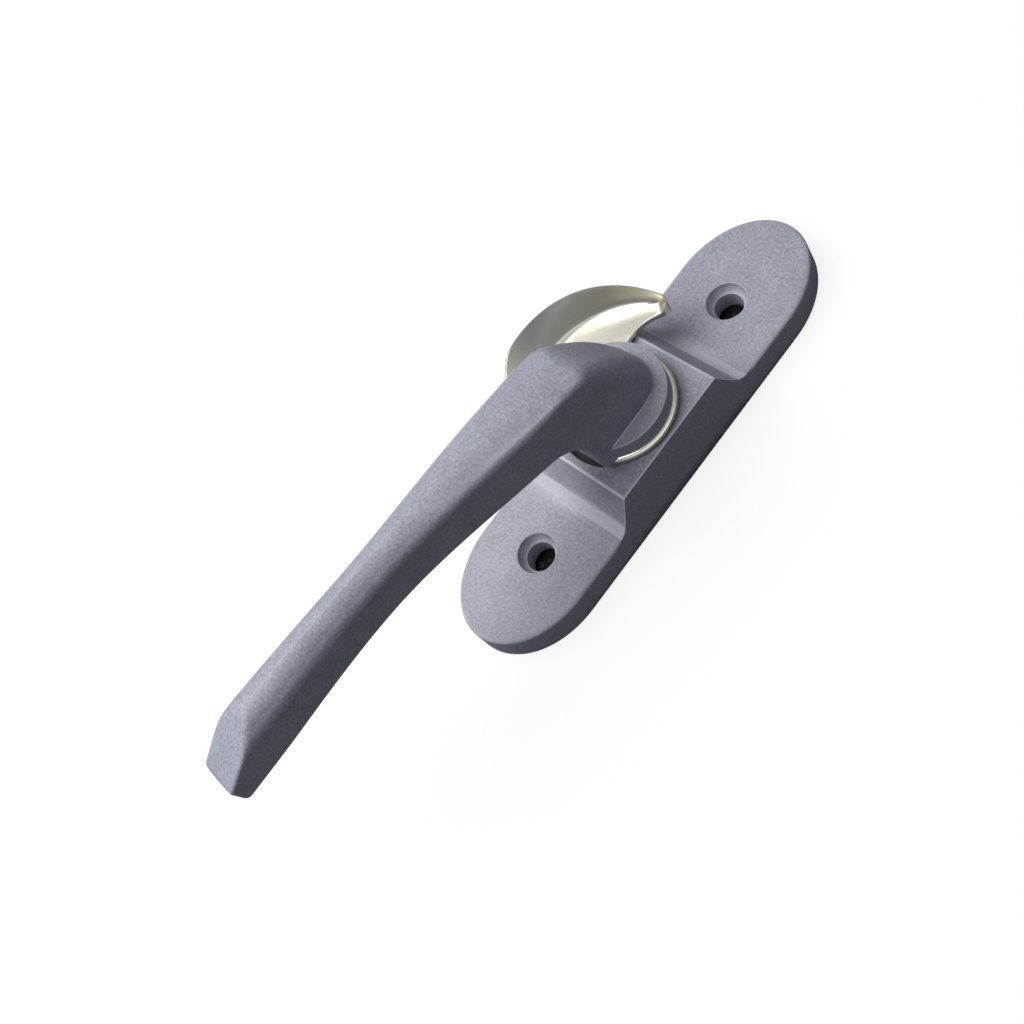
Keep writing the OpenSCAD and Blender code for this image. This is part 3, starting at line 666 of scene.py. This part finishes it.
def disc_rings(outer, low, high, low_edge, high_edge, inner):
    """Rings of a flat disc with rounded outer edges: inner edge, lower face, rim and upper face. The inner
    edge is given as its points in plan, and the outer radius may change round the disc."""
    turn = np.arctan2(inner[:, 1], inner[:, 0])
    bend = np.linspace(0, np.pi/2, 8)
    inset = np.concatenate([low_edge*(1 - np.sin(bend)), high_edge*(1 - np.cos(bend))])
    height = np.concatenate([low + low_edge*(1 - np.cos(bend)), high - high_edge*(1 - np.sin(bend))])
    radius = outer - inset[:, None] + 0*turn
    rim = np.stack([radius*np.cos(turn), radius*np.sin(turn), height[:, None] + 0*turn], -1)
    hole = np.stack([np.concatenate([inner, 0*inner[:, :1] + z], -1) for z in (high, low)])
    return np.concatenate([hole, rim])


# Finishes


def add_node(tree, kind, settings=None, values=None, links=None):
    """Adds a node with its settings, the values of its sockets and what feeds them."""
    node = tree.nodes.new(kind)
    for name, value in (settings or {}).items():
        setattr(node, name, value)
    for socket, value in (values or {}).items():
        node.inputs[socket].default_value = value
    for socket, source in (links or {}).items():
        tree.links.new(source, node.inputs[socket])
    return node


def new_material(name):
    """Empty node material, its tree and its output."""
    material = bpy.data.materials.new(name)
    material.use_nodes = True
    tree = material.node_tree
    tree.nodes.clear()
    return material, tree, add_node(tree, "ShaderNodeOutputMaterial")


def remap(tree, source, stops, results=(0.0, 1.0)):
    """Value between the two results, as the source goes from one stop to the other."""
    names = ("From Min", "From Max", "To Min", "To Max")
    return add_node(tree, "ShaderNodeMapRange", None, dict(zip(names, (*stops, *results))),
                    {"Value": source}).outputs["Result"]


def blend(tree, share, first, second):
    """Mix of two shaders by a share."""
    return add_node(tree, "ShaderNodeMixShader", None, None,
                    {"Fac": share, 1: first, 2: second}).outputs["Shader"]


def tint(tree, values, links):
    """Mix of two colours."""
    return add_node(tree, "ShaderNodeMix", {"data_type": "RGBA"}, values, links).outputs["Result"]


def skinned(tree, output, values, links):
    """Joins the output to a principled surface."""
    skin = add_node(tree, "ShaderNodeBsdfPrincipled", None, values, links)
    tree.links.new(skin.outputs["BSDF"], output.inputs["Surface"])


def powder_coat(looks):
    """Blue-grey polyester powder coat on a zinc casting. Baked powder flows into a fine pebbled skin, so
    the eye gets a soft sheen broken into grains, with a faint sparkle and slow cloudy changes of tone."""
    material, tree, output = new_material("powder_coat_blue_grey")
    place = add_node(tree, "ShaderNodeTexCoord").outputs["Object"]
    grain = add_node(tree, "ShaderNodeTexNoise", None,
                     {"Scale": 1/looks.coat_grain, "Detail": 2.0, "Roughness": 0.6}, {"Vector": place})
    cloud = add_node(tree, "ShaderNodeTexNoise", None,
                     {"Scale": 1/(4*MM), "Detail": 3.0, "Roughness": 0.55}, {"Vector": place})
    fleck = add_node(tree, "ShaderNodeTexVoronoi", None, {"Scale": 1/(0.3*MM)}, {"Vector": place})
    tone = np.array(looks.coat)
    base = tint(tree, {"A": (*(tone*0.78), 1), "B": (*(tone*1.22), 1)},
                {"Factor": remap(tree, grain.outputs["Fac"], (0.3, 0.7))})
    drift = remap(tree, cloud.outputs["Fac"], (0.3, 0.7), (0.93, 1.07))
    clouded = add_node(tree, "ShaderNodeVectorMath", {"operation": "SCALE"}, None, {0: base, "Scale": drift})
    bright = remap(tree, fleck.outputs["Color"], (0.9, 1.0), (0.0, 0.35))
    sparkle = tint(tree, {"B": (*np.minimum(tone*2, 1), 1)},
                   {"Factor": bright, "A": clouded.outputs["Vector"]})
    # Edges are lightened towards the edge colour: partly rubbed coat, partly painted highlight.
    wear_and_highlight_share = add_node(tree, "ShaderNodeAttribute", {"attribute_name": "edge_wear_and_highlight"}).outputs["Fac"]
    edged_and_lit = tint(tree, {"B": (*looks.coat_edge_and_highlight, 1)}, {"Factor": wear_and_highlight_share, "A": sparkle})
    # A share below 0 turns the coat near black: painted shade on the floor of the boss's slot.
    slot_shade = add_node(tree, "ShaderNodeMath", {"operation": "MULTIPLY", "use_clamp": True}, {1: -1.0},
                    {0: wear_and_highlight_share})
    slot_shaded = tint(tree, {"B": (*linear("#0C0C0E"), 1)}, {"Factor": slot_shade.outputs["Value"], "A": edged_and_lit})
    rough = remap(tree, grain.outputs["Fac"], (0.0, 1.0), (0.42, 0.6))
    bump = add_node(tree, "ShaderNodeBump", None, {"Strength": 0.6, "Distance": 0.04*MM},
                    {"Height": grain.outputs["Fac"]})
    skinned(tree, output, {"IOR": 1.5, "Specular IOR Level": 0.4},
            {"Base Color": slot_shaded, "Roughness": rough, "Normal": bump.outputs["Normal"]})
    return material


def plated_metal(name, tone, roughness, brush, streak, depth):
    """Plated or plain metal with fine lines from its making. The lines run across the stretched axis of
    the noise: they break the reflection and change the tone a little."""
    material, tree, output = new_material(name)
    place = add_node(tree, "ShaderNodeTexCoord").outputs["Object"]
    stretched = add_node(tree, "ShaderNodeMapping", None, {"Scale": streak}, {"Vector": place})
    lines = add_node(tree, "ShaderNodeTexNoise", None, {"Scale": 1/brush, "Detail": 3.0, "Roughness": 0.6},
                     {"Vector": stretched.outputs["Vector"]})
    cloud = add_node(tree, "ShaderNodeTexNoise", None, {"Scale": 1/(5*MM), "Detail": 2.0}, {"Vector": place})
    tone = np.array(tone)
    base = tint(tree, {"A": (*(tone*0.9), 1), "B": (*np.minimum(tone*1.06, 1), 1)},
                {"Factor": cloud.outputs["Fac"]})
    rough = remap(tree, lines.outputs["Fac"], (0.0, 1.0), (roughness*0.8, roughness*1.25))
    bump = add_node(tree, "ShaderNodeBump", None, {"Strength": 0.3, "Distance": depth},
                    {"Height": lines.outputs["Fac"]})
    skinned(tree, output, {"Metallic": 1.0},
            {"Base Color": base, "Roughness": rough, "Normal": bump.outputs["Normal"]})
    return material


def finish(slot):
    """Material of one of the record's slots, made when it is first asked for."""
    looks = bpy.context.scene.sash_finishes
    # Barrel-plated nickel is warm and satin; zinc plate is cold and brighter; rolled spring steel keeps
    # its blue-grey skin and oil; sintered bronze is dull and porous.
    metals = {
        "satin_nickel": ("satin_nickel_plate", looks.nickel, 0.24, 0.2*MM, (1, 1, 0.3), 0.004*MM),
        "bright_zinc": ("bright_zinc_plate", looks.zinc, 0.22, 0.15*MM, (1, 1, 1), 0.003*MM),
        "spring_steel": ("oiled_spring_steel", looks.spring, 0.3, 0.1*MM, (1, 0.1, 1), 0.003*MM),
        "bronze": ("sintered_bronze", looks.bronze, 0.5, 0.12*MM, (1, 1, 1), 0.01*MM),
    }
    if slot == "powder_coat":
        return bpy.data.materials.get("powder_coat_blue_grey") or powder_coat(looks)
    return bpy.data.materials.get(metals[slot][0]) or plated_metal(*metals[slot])


# Operators


class SASH_OT_base(bpy.types.Operator):
    """Build the cast base with its rounded edges, slot and mounting holes"""
    bl_idname = "sash.base"
    bl_label = "Base Casting"

    def execute(self, context):
        s = context.scene.sash_base
        rings = base_rings(s)
        piece = lofted("base_skin", rings, np.array([0, 0, rings[0, 0, 2]]))
        weld(piece.data)
        carve(piece, merged_copy("base_casting", "base_solid"), "INTERSECT")
        pitch = MOUNTS["mount_screws"]["dims"]["spacing_y_mm"]*MM
        for place in (-pitch/2, pitch/2):
            carve(piece, hole_cutter("hole_cutter", place, s), "DIFFERENCE")
        disc = context.scene.sash_crescent
        start, stop = disc.slot_angle - disc.slot_half, disc.slot_angle + disc.slot_half
        carve(piece, slot_cutter("slot_cutter", start, stop, s), "DIFFERENCE")
        mark_edges(piece, lambda *point: base_wear_and_highlight(*point, s))
        placed(piece, "base", "base_casting", finish("powder_coat"), 30)
        return {"FINISHED"}


class SASH_OT_handle(bpy.types.Operator):
    """Build the cranked handle: collar, neck, elbow and lever in one skin"""
    bl_idname = "sash.handle"
    bl_label = "Handle"

    def execute(self, context):
        s = context.scene.sash_handle
        rings, point = handle_rings(s)
        piece = lofted("handle_skin", rings, np.array([0, 0, s.socket_top]), point)
        mark_edges(piece, lambda *point: handle_wear_and_highlight(*point, s))
        placed(piece, "turning_group", "handle", finish("powder_coat"))
        return {"FINISHED"}


class SASH_OT_crescent(bpy.types.Operator):
    """Build the crescent: scooped rim and plate, joined to its hub"""
    bl_idname = "sash.crescent"
    bl_label = "Crescent"

    def execute(self, context):
        s = context.scene.sash_crescent
        rings = crescent_rings(s)
        piece = lofted("crescent_skin", rings, rings[0].mean(0), rings[-1].mean(0))
        turn = np.linspace(-np.pi, np.pi, 360, endpoint=False)
        half = context.scene.sash_handle.socket/2
        square = half/np.maximum(np.abs(np.cos(turn)), np.abs(np.sin(turn)))
        hole = np.stack([square*np.cos(turn), square*np.sin(turn)], -1)
        step = 0.01*MM
        cut = ease((s.slot_half - np.abs(turn - s.slot_angle))/radians(3))
        hub = disc_rings(s.hub_radius - s.slot_depth*cut, CRESCENT_BOTTOM + step, PLATE_TOP - step,
                         s.plate_edge, s.hub_edge, hole)
        carve(piece, lofted("crescent_hub", hub, wrap=True), "UNION")
        placed(piece, "turning_group", "crescent", finish("satin_nickel"), 30)
        return {"FINISHED"}


class SASH_OT_ring(bpy.types.Operator):
    """Build the thrust washer that lifts the crescent's disc off the boss"""
    bl_idname = "sash.ring"
    bl_label = "Thrust Washer"

    def execute(self, context):
        s = context.scene.sash_crescent
        turn = np.linspace(0, 2*np.pi, 160, endpoint=False)
        hole = s.ring_bore/2*np.stack([np.cos(turn), np.sin(turn)], -1)
        edge = 0.4*(RING_HIGH.z - RING_LOW.z)
        rings = disc_rings(RING_HIGH.x, RING_LOW.z, RING_HIGH.z, edge, edge, hole)
        piece = lofted("thrust_ring", rings, wrap=True)
        placed(piece, "base", "thrust_washer", finish("bright_zinc"), 30)
        return {"FINISHED"}


class SASH_OT_back(bpy.types.Operator):
    """Finish the back plate and its screws with small broken edges"""
    bl_idname = "sash.back"
    bl_label = "Back Plate and Screws"

    def execute(self, context):
        for node, name in (("back_plate", "back_plate_skin"), ("back_plate_screws", "back_screws_skin")):
            piece = merged_copy(node, name)
            bevel = piece.modifiers.new("broken_edges", "BEVEL")
            bevel.width, bevel.segments, bevel.limit_method = 0.12*MM, 2, "ANGLE"
            bevel.angle_limit = radians(40)
            placed(piece, "base", node, finish("bright_zinc"))
        return {"FINISHED"}


class SASH_OT_mechanism(bpy.types.Operator):
    """Give the hidden parts of the mechanism their finishes"""
    bl_idname = "sash.mechanism"
    bl_label = "Mechanism Finishes"

    def execute(self, context):
        for part in frame["record"]["subparts"]:
            mesh = frame["nodes"][part["node"]].data
            mesh.materials.clear()
            mesh.materials.append(finish(part["material_slot"]))
        return {"FINISHED"}


class SASH_OT_stage(bpy.types.Operator):
    """Set up the pale floor, the soft light and the camera"""
    bl_idname = "sash.stage"
    bl_label = "Stage"

    def execute(self, context):
        scene = context.scene
        scene.view_settings.view_transform = "Standard"
        half, level = 3.0, -0.3*MM
        corners = [(-half, -half, level), (half, -half, level), (half, half, level), (-half, half, level)]
        mesh = bpy.data.meshes.new("floor")
        mesh.from_pydata(corners, [], [(0, 1, 2, 3)])
        floor = linked("floor", mesh)
        mesh.materials.append(self.pale_floor())
        self.soft_world(scene)
        self.lamp("key", (-0.19, -0.165, 0.46), 0.4, 3.8)
        eye = bpy.data.cameras.new("camera")
        eye.sensor_width, eye.lens = 36, 37.7425
        eye.clip_start, eye.clip_end = 0.01, 20
        camera = bpy.data.objects.new("camera", eye)
        scene.collection.objects.link(camera)
        camera.location = (92.310*MM, -31.618*MM, 166.371*MM)
        camera.rotation_euler = Euler((radians(22.3744), radians(23.9490), radians(41.2471)))
        scene.camera = camera
        return {"FINISHED"}

    def pale_floor(self):
        """White studio sweep: nearly white to the eye, with a faint shadow, painted near black where little
        of the sky shows, as in a hole, and grey to the object, so that little light comes back from it."""
        material, tree, output = new_material("studio_sweep_white")
        path = add_node(tree, "ShaderNodeLightPath")
        dull = add_node(tree, "ShaderNodeBsdfDiffuse", None, {"Color": (*linear("#6A6A6C"), 1)})
        hole_shade = add_node(tree, "ShaderNodeBsdfDiffuse", None, {"Color": (*linear("#202022"), 1)})
        pale = add_node(tree, "ShaderNodeBsdfDiffuse", None, {"Color": (*linear("#F4F4F4"), 1)})
        glow = add_node(tree, "ShaderNodeEmission", None, {"Color": (1, 1, 1, 1), "Strength": 1.0})
        white = add_node(tree, "ShaderNodeMixShader", None, {"Fac": 0.86},
                         {1: pale.outputs["BSDF"], 2: glow.outputs["Emission"]})
        # Ambient occlusion mixes in the near-black colour: painted shade in holes.
        sky = add_node(tree, "ShaderNodeAmbientOcclusion", {"samples": 16}, {"Distance": 12*MM})
        share = remap(tree, sky.outputs["AO"], (0.38, 0.47))
        shown = blend(tree, share, hole_shade.outputs["BSDF"], white.outputs["Shader"])
        mix = blend(tree, path.outputs["Is Camera Ray"], dull.outputs["BSDF"], shown)
        tree.links.new(mix, output.inputs["Surface"])
        return material

    def soft_world(self, scene):
        """White to the eye. Reflections see a pale ceiling over a greyer horizon with a white panel at its +X
        side, and the even light that reaches dull faces is low."""
        world = bpy.data.worlds.new("studio")
        world.use_nodes = True
        tree = world.node_tree
        tree.nodes.clear()
        path = add_node(tree, "ShaderNodeLightPath")
        place = add_node(tree, "ShaderNodeTexCoord").outputs["Generated"]
        height = add_node(tree, "ShaderNodeSeparateXYZ", None, None, {"Vector": place})
        bright = remap(tree, height.outputs["Z"], (0.0, 0.7), (0.28, 0.5))
        panel = remap(tree, height.outputs["X"], (0.4, 0.9), (0.0, 0.7))
        both = add_node(tree, "ShaderNodeMath", {"operation": "ADD"}, None, {0: bright, 1: panel})

        def sky(code, strength, links=None):
            values = {"Color": (*linear(code), 1), "Strength": strength}
            return add_node(tree, "ShaderNodeBackground", None, values, links).outputs["Background"]

        studio = sky("#FFFFFF", 1.0, {"Strength": both.outputs["Value"]})
        lit = blend(tree, path.outputs["Is Glossy Ray"], sky("#E2E7F4", 0.265), studio)
        mix = blend(tree, path.outputs["Is Camera Ray"], lit, sky("#FFFFFF", 1.0))
        tree.links.new(mix, add_node(tree, "ShaderNodeOutputWorld").inputs["Surface"])
        scene.world = world

    def lamp(self, name, place, size, power):
        """Square area lamp that faces the lock."""
        light = bpy.data.lights.new(name, "AREA")
        light.size, light.energy = size, power
        lamp = bpy.data.objects.new(name, light)
        bpy.context.scene.collection.objects.link(lamp)
        lamp.location = place
        lamp.rotation_euler = (-lamp.location).to_track_quat("-Z", "Y").to_euler()


class SASH_PT_panel(bpy.types.Panel):
    """Sizes and steps of the sash lock"""
    bl_label = "Sash Lock"
    bl_idname = "SASH_PT_panel"
    bl_space_type = "VIEW_3D"
    bl_region_type = "UI"
    bl_category = "Sash Lock"

    def draw(self, context):
        for name in GROUPS:
            box = self.layout.box()
            group = getattr(context.scene, name)
            for prop in group.bl_rna.properties:
                if prop.identifier not in {"rna_type", "name"}:
                    box.prop(group, prop.identifier)
        for operator in OPERATORS:
            self.layout.operator(operator.bl_idname)


GROUPS = {
    "sash_base": SashBaseSizes,
    "sash_handle": SashHandleSizes,
    "sash_crescent": SashCrescentSizes,
    "sash_finishes": SashFinishes,
}
OPERATORS = (SASH_OT_base, SASH_OT_handle, SASH_OT_crescent, SASH_OT_ring, SASH_OT_back, SASH_OT_mechanism,
             SASH_OT_stage)
CLASSES = (*GROUPS.values(), *OPERATORS, SASH_PT_panel)


def register():
    for cls in CLASSES:
        bpy.utils.register_class(cls)
    for name, group in GROUPS.items():
        setattr(bpy.types.Scene, name, PointerProperty(type=group))


def unregister():
    for name in GROUPS:
        delattr(bpy.types.Scene, name)
    for cls in reversed(CLASSES):
        bpy.utils.unregister_class(cls)


def main():
    register()
    bpy.ops.sash.base()
    bpy.ops.sash.handle()
    bpy.ops.sash.crescent()
    bpy.ops.sash.ring()
    bpy.ops.sash.back()
    bpy.ops.sash.mechanism()
    bpy.ops.sash.stage()


if __name__ == "__main__":
    main()
